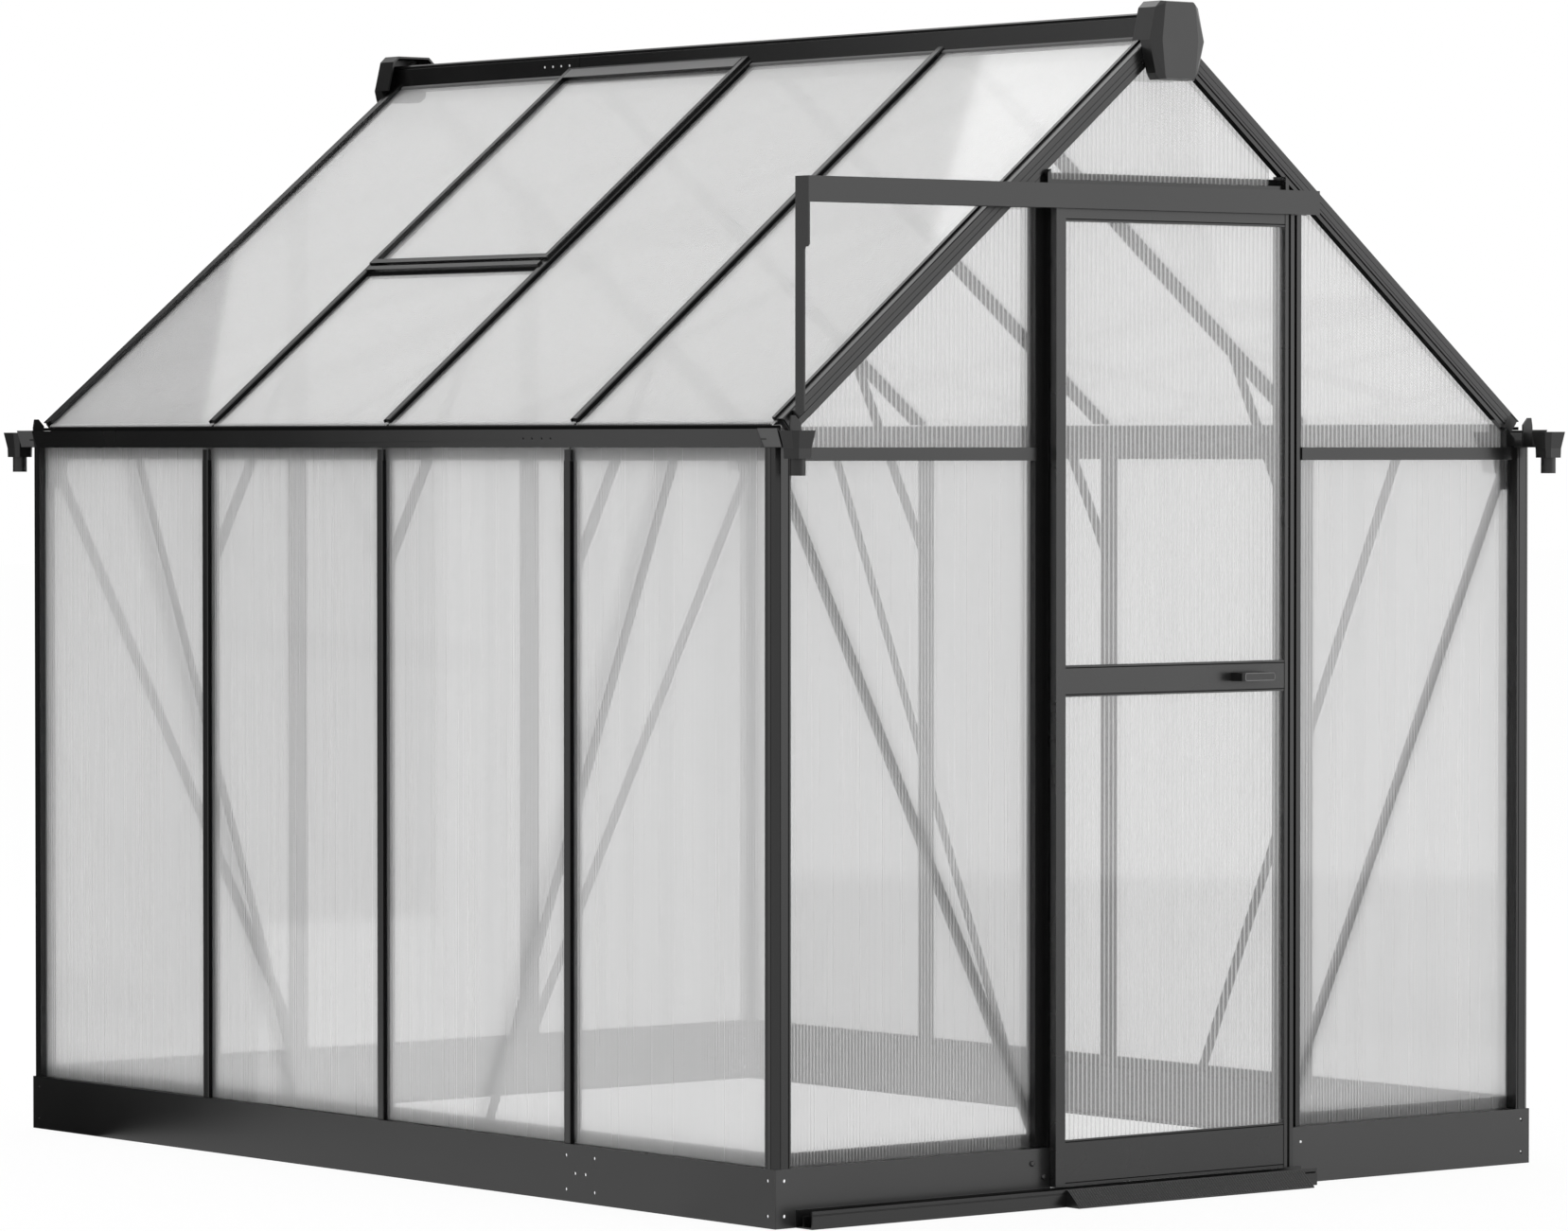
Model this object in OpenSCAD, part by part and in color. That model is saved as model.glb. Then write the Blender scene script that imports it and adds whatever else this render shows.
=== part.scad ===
// Walk-in garden greenhouse: aluminium profiles, twin-wall sheets, sliding door on a top rail,
// roof vent, rain gutters with outlets and a folded steel base.
// Frame: +X to the right along the door gable, +Y from the door gable to the back, +Z up.
// The origin is on the ground, at the middle of the frame.

/* [Overall size] */
// Width of the gable over the base
gable_w = 1880; // [1800:10:2260]
// Length of the side wall over the base
side_l = 2420; // [2020:10:2900]
// Height of the wall plates above the ground
plate_z = 1390; // [1250:5:1680]
// Pitch of the roof in degrees
roof_pitch = 39; // [33:0.5:40]

/* [Base] */
// Height of the folded base
base_h = 106; // [80:1:125]
// Thickness of the base sheet
base_t = 2.5; // [2:0.5:4]
// Width of the folded base flanges
base_flange = 28; // [24:1:40]
// Radius of the base bolt holes
base_hole_r = 3.3; // [2.5:0.1:4.5]

/* [Frame] */
// Width of the outer cap of a post or roof bar
cap_w = 18; // [14:1:24]
// Width of the inner flange of a post or roof bar
post_w = 45; // [36:1:56]
// Side of the square that a corner post fills
corner_w = 36; // [34:1:45]
// Height of the wall plates, sill rails and gable ties
plate_h = 24; // [18:1:32]
// Depth of the gable rafters square to the roof
rafter_h = 40; // [34:1:50]
// Width of a flat brace
brace_w = 22; // [16:1:26]

/* [Sheets] */
// Thickness of the twin-wall sheets
sheet_t = 4; // [4:0.5:6]

/* [Door] */
// Width of the door leaf
door_w = 592; // [520:2:680]
// Height of the top of the door leaf above the ground
door_top = 1827; // [1650:1:1835]
// Width of the door stiles
stile_w = 23; // [18:1:30]
// Height of the bottom rail of the door
door_kick_h = 85; // [60:1:140]
// Depth of the groove down each door stile
stile_groove = 4; // [2:0.5:6]

/* [Roof vent] */
// Length of the vent down the slope
vent_l = 642; // [480:2:700]

/* [Hidden] */
half_w = gable_w / 2;
half_l = side_l / 2;
end_bay = side_l * 0.2558;
mid_bay = (side_l - 2 * end_bay) / 2;
gable_post_x = gable_w * 0.1612;
tan_p = tan(roof_pitch);
cos_p = cos(roof_pitch);
sin_p = sin(roof_pitch);

// wall section, measured inwards from the outer face of the base
side_face = 5;
cap_t = 8;
side_sheet = side_face + cap_t;
side_inner = side_sheet + sheet_t;
flange_t = 6;
gable_sheet = 25;
gable_inner = gable_sheet + sheet_t;
gable_back = gable_inner + flange_t;
web_w = 4;
fit = 0.05;

// roof section, measured square to the roof from its outer surface
roof_z0 = plate_z + 36;
roof_cap = 8;
roof_sheet = roof_cap;
roof_under = roof_cap + sheet_t;
rafter_under = roof_under + flange_t;
eave_x = 22;
ridge_half = 35;
ridge_side_z = roof_z0 + (half_w - ridge_half) * tan_p;
ridge_top = ridge_side_z + 37;
rafter_w = 46;
rafter_seat = 28.5;
rafter_rim = 8.5;
rafter_step = 3.2;
ridge_drop = 38;

// front of the gable ties and rafters, behind the front of the corner posts
tie_face = 8;

// gutter
gutter_t = 3;
gutter_top = plate_z + 33;
gutter_lean = 11.5;
gutter_out = 4.5;
gutter_in = 30;
gutter_end = gable_inner;
head_x = 7;
head_y = 55;

// doorway and sliding gear, measured forwards from the gable face
door_post_x = door_w / 2 - 4;
left_post_out = door_post_x + 28;
right_post_out = door_post_x + 51;
door_back = 8;
door_t = 16;
door_front = door_back + door_t;
door_bottom = 35;
leaf_top = door_top + 5;
door_x = -4;
mid_rail_z = 933;
mid_rail_h = 58;
top_bar_h = 24;
rail_h = 45;
rail_z = door_top;
rail_front = 38;
rail_t = 3;
rail_left = half_w - 49;
rail_right = door_w / 2 + 48;
track_z = 32;
track_front = 46;
track_left = half_w - 48;
track_right = door_w / 2 + 38;
ramp_w = door_w - 6;
ramp_out = 82;
sill_z = 30;

frame_colour = [0.24, 0.25, 0.26];
sheet_colour = [0.85, 0.87, 0.88];
plastic_colour = [0.30, 0.31, 0.32];

function roof_at(d, n) = roof_z0 + d * tan_p - n / cos_p;

module both_sides() {
  children();
  mirror([1, 0, 0]) children();
}

module both_ends() {
  children();
  mirror([0, 1, 0]) children();
}

// Extrudes an X-Z outline along Y from y0 to y1.
module along_y(y0, y1) {
  translate([0, y1, 0]) rotate([90, 0, 0]) linear_extrude(height = y1 - y0) children();
}

// Extrudes a Y-Z outline along X from x0 to x1.
module along_x(x0, x1) {
  translate([x0, 0, 0]) rotate([90, 0, 90]) linear_extrude(height = x1 - x0) children();
}

// A block given by its two opposite corners.
module block(a, b) {
  translate(a) cube([b[0] - a[0], b[1] - a[1], b[2] - a[2]]);
}

// Puts a Y-n outline on the right roof slope: X runs up the slope from the eave, Y stays, Z is square to it.
module on_slope() {
  translate([half_w, 0, roof_z0]) mirror([1, 0, 0]) rotate([0, -roof_pitch, 0]) children();
}

// Extrudes a Y-n outline up the slope between two level distances from the wall face.
module up_slope(d0, d1) {
  on_slope() along_x(d0 / cos_p, d1 / cos_p) children();
}

// A block that lies along the slope, from y0 to y1 and from n0 to n1 below the roof surface.
module slope_block(d0, d1, y0, y1, n0, n1) {
  up_slope(d0, d1) translate([y0, -n1]) square([y1 - y0, n1 - n0]);
}

// An outline that ends upright against the side of the ridge beam.
module up_to_ridge(d0) {
  difference() {
    up_slope(d0, half_w) children();
    block([-half_w, -half_l - 1, plate_z], [ridge_half, half_l + 1, ridge_top + 200]);
  }
}

// ---------- base ----------
module base_outline() {
  polygon([[0, 0], [base_flange, 0], [base_flange, base_t], [base_t, base_t], [base_t, base_h - base_t],
    [base_flange, base_h - base_t], [base_flange, base_h], [0, base_h]]);
}

hole_low = 22;
hole_high = base_h - 21;
corner_hole = 22;
splice_y = 573 - half_l;
splice_outer = 43;
splice_inner = 15.5;

module hole_x(y, z) {
  translate([0, y, z]) rotate([0, 90, 0]) cylinder(h = 8 * base_t, r = base_hole_r, center = true, $fn = 32);
}

module base_side() {
  translate([half_w, 0, 0]) difference() {
    along_y(-half_l, half_l) mirror([1, 0]) base_outline();
    for (y = [-half_l + corner_hole, half_l - corner_hole]) {
      hole_x(y, hole_low);
      hole_x(y, hole_high);
    }
    for (y = [splice_y - splice_outer, splice_y + splice_outer]) {
      hole_x(y, hole_low);
      hole_x(y, hole_high);
    }
    for (y = [splice_y - splice_inner, splice_y + splice_inner]) hole_x(y, base_h / 2);
    both_ends() block([-base_flange - 1, -half_l - 1, -1], [-base_t, -half_l + base_t, base_h + 1]);
  }
}

module base_right() {
  color(frame_colour) base_side();
}

module base_left() {
  color(frame_colour) mirror([1, 0, 0]) base_side();
}

// One run of gable base between x0 and x1; the flanges stop clear of the side bases.
module base_run(x0, x1, left_cut, right_cut) {
  difference() {
    along_x(x0, x1) translate([-half_l, 0]) base_outline();
    block([x0 - 1, -half_l + base_t, -1], [x0 + left_cut, -half_l + base_flange + 1, base_h + 1]);
    block([x1 - right_cut, -half_l + base_t, -1], [x1 + 1, -half_l + base_flange + 1, base_h + 1]);
  }
}

module corner_holes() {
  for (z = [hole_low, hole_high]) {
    translate([half_w - corner_hole, -half_l, z]) rotate([90, 0, 0])
      cylinder(h = 8 * base_t, r = base_hole_r, center = true, $fn = 32);
  }
}

module base_back() {
  color(frame_colour) mirror([0, 1, 0]) difference() {
    base_run(-half_w + base_t, half_w - base_t, base_flange - base_t, base_flange - base_t);
    both_sides() corner_holes();
  }
}

module base_front_right() {
  color(frame_colour) difference() {
    base_run(door_post_x, half_w - base_t, 0, base_flange - base_t);
    corner_holes();
  }
}

module base_front_left() {
  color(frame_colour) mirror([1, 0, 0]) difference() {
    base_run(door_post_x, half_w - base_t, 0, base_flange - base_t);
    corner_holes();
  }
}

// Low sill that joins the two front bases under the doorway.
module door_sill() {
  color(frame_colour) along_x(-door_post_x, door_post_x) translate([-half_l, 0])
    polygon([[0, 0], [base_flange, 0], [base_flange, sill_z - 6], [base_flange - 4, sill_z],
      [4, sill_z], [0, sill_z - 4]]);
}

// Ramp that leads up to the door track, open underneath, with closed ends.
module threshold_ramp() {
  color(frame_colour) translate([0, -half_l - ramp_out, 0]) difference() {
    along_x(-ramp_w / 2, ramp_w / 2) polygon([[0, 0], [ramp_out - track_front, 0],
      [ramp_out - track_front, track_z - 1], [ramp_out - track_front - 3, track_z], [0, 2.5]]);
    along_x(-ramp_w / 2 + 3, ramp_w / 2 - 3) polygon([[9, -1], [ramp_out - track_front - 3, -1],
      [ramp_out - track_front - 3, track_z - 7]]);
  }
}

// ---------- posts ----------
// Corner post outline with its outer corner at the origin: faceted nose and shadow grooves.
corner_d = 29;
module corner_outline() {
  difference() {
    polygon([[12, 0], [corner_w, 0], [corner_w, corner_d], [0, corner_d], [0, 12], [4, 4]]);
    translate([corner_w - 6, -1]) square([2, 5]);
    translate([12, -1]) square([1.2, 2.2]);
    translate([-1, 12]) square([2.2, 1.2]);
    translate([-1, corner_d - 6]) square([3, 1.2]);
  }
}

module corner_posts() {
  color(frame_colour) both_ends() both_sides() translate([half_w, -half_l, base_h]) mirror([1, 0, 0])
    linear_extrude(height = plate_z - base_h) corner_outline();
}

// Wall post outline: outer cap, web that parts the sheets, inner flange. X inwards, Y across.
module post_outline(face, sheet_d) {
  inner = sheet_d + sheet_t;
  polygon([[face, -cap_w / 2 + 2], [face + 2, -cap_w / 2], [sheet_d, -cap_w / 2], [sheet_d, -web_w / 2],
    [inner, -web_w / 2], [inner, -post_w / 2], [inner + flange_t, -post_w / 2],
    [inner + flange_t, post_w / 2], [inner, post_w / 2], [inner, web_w / 2],
    [sheet_d, web_w / 2], [sheet_d, cap_w / 2], [face + 2, cap_w / 2], [face, cap_w / 2 - 2]]);
}

post_top = plate_z - 4;
module side_posts() {
  for (y = [-mid_bay, 0, mid_bay]) {
    translate([half_w, y, base_h]) mirror([1, 0, 0]) linear_extrude(height = post_top - base_h)
      post_outline(side_face, side_sheet);
  }
}

module posts_right() {
  color(frame_colour) side_posts();
}

module posts_left() {
  color(frame_colour) mirror([1, 0, 0]) side_posts();
}

// Everything between the base and a line n below the roof surface, as an X-Z outline.
module under_roof(n, z0) {
  polygon([[-half_w, z0], [half_w, z0], [half_w, roof_at(0, n)], [0, roof_at(half_w, n)], [-half_w, roof_at(0, n)]]);
}

module posts_back() {
  color(frame_colour) both_sides() intersection() {
    translate([gable_post_x, half_l, base_h]) rotate([0, 0, -90])
      linear_extrude(height = ridge_top) post_outline(cap_t, gable_sheet);
    along_y(0, half_l + 1) under_roof(rafter_h, base_h);
  }
}

// Door post outline from the doorway outwards: runner fin, deep shadow channel, lip beside the sheet.
post_fin = 8;
post_lip = 11.4;
post_step = 11.5;
post_recess = 16;
module door_post_outline(w) {
  polygon([[0, 0], [post_fin, 0], [post_fin, post_recess], [w - post_lip, post_recess], [w - post_lip, post_step],
    [w, post_step], [w, gable_back], [0, gable_back]]);
}

module door_post(outer_x) {
  intersection() {
    translate([door_post_x, -half_l, base_h]) linear_extrude(height = ridge_top)
      door_post_outline(outer_x - door_post_x);
    along_y(-half_l - 1, 0) under_roof(rafter_h, base_h);
  }
}

// The lips of the two posts sit unevenly beside the door.
module door_posts() {
  color(frame_colour) {
    door_post(right_post_out);
    mirror([1, 0, 0]) door_post(left_post_out);
  }
}

// ---------- plates, sills and ties ----------
// Channel that lies behind the sheets, back to the wall at x = 0.
module channel_outline(depth) {
  polygon([[0, 0], [depth, 0], [depth, 3], [3, 3], [3, plate_h - 3], [depth, plate_h - 3], [depth, plate_h],
    [0, plate_h]]);
}

side_plate = side_inner + flange_t;
plate_d = 12;
module side_plates() {
  for (z = [base_h, plate_z - plate_h]) {
    translate([half_w - side_plate, 0, z]) along_y(-half_l + corner_d, half_l - corner_d) mirror([1, 0])
      channel_outline(plate_d);
  }
}

module plates_right() {
  color(frame_colour) side_plates();
}

module plates_left() {
  color(frame_colour) mirror([1, 0, 0]) side_plates();
}

module gable_sill(x0, x1) {
  translate([0, -half_l + gable_inner, base_h]) along_x(x0, x1) channel_outline(plate_d);
}

module sills_gables() {
  color(frame_colour) {
    gable_sill(right_post_out, half_w - corner_w);
    gable_sill(-half_w + corner_w, -left_post_out);
    mirror([0, 1, 0]) {
      both_sides() gable_sill(gable_post_x + post_w / 2, half_w - corner_w);
      gable_sill(-gable_post_x + post_w / 2, gable_post_x - post_w / 2);
    }
  }
}

module gable_tie(x0, x1) {
  block([x0, -half_l + tie_face, plate_z - plate_h], [x1, -half_l + gable_sheet, plate_z]);
}

module gable_ties() {
  color(frame_colour) {
    gable_tie(right_post_out, half_w - corner_w);
    gable_tie(-half_w + corner_w, -left_post_out);
    mirror([0, 1, 0]) {
      both_sides() gable_tie(gable_post_x + cap_w / 2, half_w - corner_w);
      gable_tie(-gable_post_x + cap_w / 2, gable_post_x - cap_w / 2);
    }
  }
}

// Header over the doorway: front box, slot for the gable sheet and a taller upstand behind it.
header_top = door_top + 54;
header_h = 36;
header_slot = 16;
header_rise = 13;
module door_header() {
  z0 = header_top - header_h;
  color(frame_colour) along_x(-door_post_x, door_post_x) translate([-half_l, 0]) polygon([[tie_face, z0],
    [tie_face, header_top], [gable_sheet, header_top], [gable_sheet, z0 + header_slot], [gable_inner, z0 + header_slot],
    [gable_inner, header_top + header_rise], [gable_back - 2, header_top + header_rise], [gable_back - 2, z0]]);
}

// ---------- roof frame ----------
// Short foot that stands on the gable tie beside the corner post.
foot_d = 58;
module rafter_foot() {
  translate([0, -half_l, 0]) along_y(tie_face, gable_sheet) polygon([[half_w - corner_w, plate_z],
    [half_w - corner_w, roof_at(corner_w, rafter_h - 3)], [half_w - foot_d, roof_at(foot_d, rafter_h - 3)],
    [half_w - foot_d, plate_z]]);
}

// Rafter outline: stepped rim over the sheet edge, front box with two shadow grooves, lower flange
// set back, and the inner flange that the roof sheet lies on. X inwards from the gable face, Y up.
module rafter_outline() {
  groove_high = rafter_h * 0.4;
  groove_low = rafter_h * 0.65;
  lower = rafter_h - 9;
  polygon([[tie_face + 1.5, -rafter_step], [21, -rafter_step], [21.8, -rafter_step - 0.8], [22.6, -rafter_step],
    [rafter_seat, -rafter_step], [rafter_seat, 0], [rafter_seat + rafter_rim, 0],
    [rafter_seat + rafter_rim, -roof_cap], [rafter_seat, -roof_cap], [rafter_seat, -roof_under],
    [rafter_w, -roof_under], [rafter_w, -roof_under - flange_t], [gable_sheet, -roof_under - flange_t],
    [gable_sheet, -rafter_h], [tie_face + 2.6, -rafter_h], [tie_face + 2.6, -lower], [tie_face, -lower],
    [tie_face, -groove_low - 0.6], [tie_face + 1, -groove_low], [tie_face, -groove_low + 0.6],
    [tie_face, -groove_high - 0.5], [tie_face + 0.8, -groove_high], [tie_face, -groove_high + 0.5],
    [tie_face, -rafter_step - 1.5]]);
}

// The front box stops short of the eave, where the gutter head and its tab stand.
box_end_d = 42;
module rafter() {
  difference() {
    up_to_ridge(eave_x) translate([-half_l, 0]) rafter_outline();
    up_slope(0, box_end_d) translate([-half_l, 0]) polygon([[tie_face - 1, -6], [gable_sheet - 4, -6],
      [gable_sheet - 4, -rafter_h - 1], [tie_face - 1, -rafter_h - 1]]);
  }
  rafter_foot();
}

module rafters_front() {
  color(frame_colour) both_sides() rafter();
}

module rafters_back() {
  color(frame_colour) mirror([0, 1, 0]) both_sides() rafter();
}

// Roof bar: outer cap, web that stands on the gutter's inner wall, inner flange that starts behind it.
module roof_bars() {
  for (y = [-mid_bay, 0, mid_bay]) {
    up_to_ridge(eave_x) translate([y, 0]) polygon([[-cap_w / 2 + 2, 0], [cap_w / 2 - 2, 0], [cap_w / 2, -2],
      [cap_w / 2, -roof_cap], [web_w / 2, -roof_cap], [web_w / 2, -roof_under], [-web_w / 2, -roof_under],
      [-web_w / 2, -roof_cap], [-cap_w / 2, -roof_cap], [-cap_w / 2, -2]]);
    up_to_ridge(gutter_in + 2) translate([y - post_w / 2, -roof_under - flange_t]) square([post_w, flange_t]);
  }
}

module roof_bars_right() {
  color(frame_colour) roof_bars();
}

module roof_bars_left() {
  color(frame_colour) mirror([1, 0, 0]) roof_bars();
}

// Ridge beam: inverted channel with a stepped top edge, and screw holes where its two lengths meet.
module ridge_beam() {
  z0 = ridge_side_z - ridge_drop;
  color(frame_colour) along_y(-half_l - 8, half_l + 8) polygon([[-ridge_half, z0], [-ridge_half, ridge_top - 9],
    [-ridge_half + 3, ridge_top - 7], [-ridge_half + 3, ridge_top - 3], [-ridge_half + 6, ridge_top],
    [ridge_half - 6, ridge_top], [ridge_half - 3, ridge_top - 3], [ridge_half - 3, ridge_top - 7],
    [ridge_half, ridge_top - 9], [ridge_half, z0], [ridge_half - 4, z0], [ridge_half - 4, ridge_top - 12],
    [-ridge_half + 4, ridge_top - 12], [-ridge_half + 4, z0]]);
}

// ---------- ridge end caps ----------
cap_mid_z = ridge_side_z - 16;
cap_back = 30;
cap_t_wall = 4;

// Body outline of the cap: ten corners, widest at mid height. The inset draws the hollow.
module cap_outline(inset) {
  side = [[40 - inset / 2, 73 - inset], [53 - inset, 61 - inset / 2], [68 - inset, 0], [52 - inset, -61 + inset / 2],
    [44 - inset / 2, -73 + inset]];
  translate([0, cap_mid_z]) polygon(concat(side, [for (i = [len(side) - 1:-1:0]) [-side[i][0], side[i][1]]]));
}

// Front plate outline: a long hexagon with cut corners.
module plate_outline(inset) {
  side = [[33 - inset, 71 - inset], [37 - inset, 67 - inset], [44.5 - inset, 0], [37 - inset, -67 + inset],
    [33 - inset, -71 + inset]];
  translate([0, cap_mid_z]) polygon(concat(side, [for (i = [len(side) - 1:-1:0]) [-side[i][0], side[i][1]]]));
}

// The plate spreads to the body through sloping facets; the lower half stops against the rafters.
module ridge_cap() {
  color(plastic_colour) translate([0, -half_l, 0]) difference() {
    union() {
      hull() {
        along_y(-28, -27) plate_outline(0);
        along_y(-17.5, -16.5) cap_outline(0);
      }
      along_y(-16.6, cap_back) cap_outline(0);
    }
    hull() {
      along_y(-24, -23) plate_outline(cap_t_wall);
      along_y(-14.5, -13.5) cap_outline(cap_t_wall);
    }
    along_y(-14, cap_back + 1) cap_outline(cap_t_wall);
    block([-half_w, tie_face, cap_mid_z - 100], [half_w, cap_back + 1, cap_mid_z]);
  }
}

module ridge_caps() {
  both_ends() ridge_cap();
}

// ---------- eave gutters ----------
gutter_hole_y = 690 - half_l;
module gutter() {
  lip = gutter_out + gutter_lean;
  clear = rafter_under + fit;
  difference() {
    translate([half_w, 0, 0]) mirror([1, 0, 0]) along_y(-half_l + gutter_end, half_l - gutter_end)
      polygon([[-gutter_out, plate_z], [-lip, gutter_top], [-lip + 5, gutter_top], [-lip + 5, gutter_top - 2],
        [-lip + 2.5, gutter_top - 2], [-gutter_out + 2, plate_z + gutter_t], [gutter_in - gutter_t, plate_z + gutter_t],
        [gutter_in - gutter_t, roof_at(gutter_in - gutter_t, roof_under + fit)],
        [gutter_in, roof_at(gutter_in, roof_under + fit)], [gutter_in, plate_z]]);
    for (dy = [-42, -15, 15, 42]) {
      translate([half_w + 10, gutter_hole_y + dy, plate_z + 16]) rotate([0, 90, 0])
        cylinder(h = 30, r = 2.2, center = true, $fn = 24);
    }
    both_ends() slope_block(0, 60, -half_l, -half_l + rafter_w + fit, -20, clear);
  }
}

module gutter_right() {
  color(frame_colour) gutter();
}

module gutter_left() {
  color(frame_colour) mirror([1, 0, 0]) gutter();
}

// Square funnel between two levels, as the common part of two extruded tapers. Sizes are half widths.
module taper(top, z_top, low, z_low) {
  intersection() {
    along_y(-top, top) polygon([[-low, z_low], [low, z_low], [top, z_top], [-top, z_top]]);
    along_x(-top, top) polygon([[-low, z_low], [low, z_low], [top, z_top], [-top, z_top]]);
  }
}

// Half width across the cut corners of a square funnel with the given half width.
function across(half) = half * 1.17;

// Square funnel with its four corners cut off.
module cut_taper(top, z_top, low, z_low) {
  intersection() {
    taper(top, z_top, low, z_low);
    rotate([0, 0, 45]) taper(across(top), z_top, across(low), z_low);
  }
}

// Gutter end piece on the right front corner: trough, outlet funnel with its spigot, and the upright tab.
funnel_top = 27.5;
funnel_low = 21;
funnel_wall = 2.5;
funnel_z = plate_z + 30;
collar_z = plate_z - 20;
spigot_z = plate_z - 50;
spigot_r = 14.3;
module gutter_head() {
  lip = gutter_out + gutter_lean + 1.5;
  back = head_y - funnel_top;
  translate([half_w, -half_l, 0]) mirror([1, 0, 0]) difference() {
    union() {
      along_y(-back, gutter_end) polygon([[-gutter_out - 1.5, plate_z], [-lip, gutter_top + 1],
        [-lip + 3, gutter_top + 1], [-gutter_out + 1.5, plate_z + gutter_t], [corner_w, plate_z + gutter_t],
        [corner_w, plate_z]]);
      block([-gutter_out, -head_y + funnel_low - 2, plate_z], [corner_w + 10, -0.5, plate_z + gutter_t]);
      along_y(-22, -18) polygon([[17, plate_z + 1], [42, plate_z + 1], [42, plate_z + 43], [29, plate_z + 57],
        [20, plate_z + 57], [17, plate_z + 40]]);
      translate([head_x, -head_y, 0]) {
        cut_taper(funnel_top, funnel_z, funnel_low, plate_z - 2);
        cut_taper(funnel_low, plate_z - 2, funnel_low - 0.5, collar_z);
        translate([0, 0, spigot_z]) cylinder(h = collar_z - spigot_z + 1, r = spigot_r, $fn = 48);
      }
    }
    translate([head_x, -head_y, 0]) {
      cut_taper(funnel_top - funnel_wall, funnel_z + 0.1, funnel_low - funnel_wall, plate_z - 2);
      cut_taper(funnel_low - funnel_wall, plate_z - 1.9, funnel_low - funnel_wall - 0.5, collar_z + funnel_wall);
      translate([0, 0, spigot_z - 1]) cylinder(h = collar_z - spigot_z + 10, r = spigot_r - 2.3, $fn = 48);
    }
    block([-gutter_out + 3, -back - 12, plate_z + gutter_t], [head_x + 18, -back + 1, funnel_z + 1]);
  }
}

module gutter_heads() {
  color(plastic_colour) both_ends() both_sides() gutter_head();
}

// ---------- sheets ----------
module side_sheets() {
  spans = [[-half_l + corner_d, -mid_bay - web_w / 2], [-mid_bay + web_w / 2, -web_w / 2],
    [web_w / 2, mid_bay - web_w / 2], [mid_bay + web_w / 2, half_l - corner_d]];
  for (s = spans) block([half_w - side_inner, s[0], base_h], [half_w - side_sheet, s[1], plate_z]);
}

module sheets_right() {
  color(sheet_colour) side_sheets();
}

module sheets_left() {
  color(sheet_colour) mirror([1, 0, 0]) side_sheets();
}

sheet_seam = plate_z - plate_h / 2;
module gable_sheet_block(x0, x1, z0, z1) {
  block([x0, -half_l + gable_sheet, z0], [x1, -half_l + gable_inner, z1]);
}

module sheets_back() {
  color(sheet_colour) mirror([0, 1, 0]) {
    both_sides() gable_sheet_block(gable_post_x + web_w / 2, half_w - corner_w, base_h, sheet_seam);
    gable_sheet_block(-gable_post_x + web_w / 2, gable_post_x - web_w / 2, base_h, sheet_seam);
  }
}

module sheets_front() {
  color(sheet_colour) {
    gable_sheet_block(right_post_out, half_w - corner_w, base_h, sheet_seam);
    gable_sheet_block(-half_w + corner_w, -left_post_out, base_h, sheet_seam);
  }
}

sheet_tuck = roof_under + flange_t;
module gable_sheet_back() {
  color(sheet_colour) mirror([0, 1, 0]) intersection() {
    union() {
      both_sides() gable_sheet_block(gable_post_x + web_w / 2, half_w - corner_w, sheet_seam, ridge_top);
      gable_sheet_block(-gable_post_x + web_w / 2, gable_post_x - web_w / 2, sheet_seam, ridge_side_z - ridge_drop);
    }
    along_y(-half_l, 0) under_roof(sheet_tuck, base_h);
  }
}

module gable_sheet_front() {
  color(sheet_colour) intersection() {
    union() {
      gable_sheet_block(right_post_out, half_w - corner_w, sheet_seam, ridge_top);
      gable_sheet_block(-half_w + corner_w, -left_post_out, sheet_seam, ridge_top);
      gable_sheet_block(-door_post_x + 20, door_post_x - 20, header_top - header_h + header_slot, ridge_side_z - ridge_drop);
    }
    along_y(-half_l, 0) under_roof(sheet_tuck, base_h);
  }
}

roof_spans = [[-half_l + rafter_seat, -mid_bay - web_w / 2], [-mid_bay + web_w / 2, -web_w / 2],
  [web_w / 2, mid_bay - web_w / 2], [mid_bay + web_w / 2, half_l - rafter_seat]];
module roof_sheet(span) {
  up_to_ridge(eave_x) translate([span[0], -roof_under]) square([span[1] - span[0], sheet_t]);
}

module roof_sheets_right() {
  color(sheet_colour) for (s = roof_spans) roof_sheet(s);
}

vent_d1 = half_w - ridge_half;
vent_d0 = vent_d1 - vent_l * cos_p;
vent_bay = 2;
module roof_sheets_left() {
  color(sheet_colour) mirror([1, 0, 0]) {
    for (i = [0, 1, 3]) roof_sheet(roof_spans[i]);
    up_slope(eave_x, vent_d0 - sill_gap) translate([roof_spans[vent_bay][0], -roof_under])
      square([roof_spans[vent_bay][1] - roof_spans[vent_bay][0], sheet_t]);
  }
}

// ---------- roof vent ----------
// The sash lies on the caps of the two roof bars beside it; the sill bar closes the sheet below it.
sash_rise = 6;
sash_lap = 8.4;
sash_w = 12.5;
sill_gap = 6.5;
sill_w = 9;
lip_w = 5;
vent_y0 = vent_bay_y(0);
vent_y1 = vent_bay_y(1);
sash_sheet = 3.5;

function vent_bay_y(side) = roof_spans[vent_bay][side] + (side == 0 ? -web_w / 2 : web_w / 2);

module sash() {
  y0 = vent_y0 + cap_w / 2 - sash_lap;
  y1 = vent_y1 - cap_w / 2 + sash_lap;
  side = cap_w / 2 + 0.3;
  difference() {
    union() {
      slope_block(vent_d0, half_w, y0, y1, -sash_rise, 0);
      slope_block(vent_d0, half_w, vent_y0 + side, vent_y1 - side, -1, roof_cap);
    }
    slope_block(vent_d0 + sash_w * cos_p, vent_d1 - 20, y0 + sash_w, y1 - sash_w, -sash_rise - 1, roof_cap + 1);
    block([-half_w, -half_l, plate_z], [ridge_half, half_l, ridge_top + 200]);
  }
}

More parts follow.
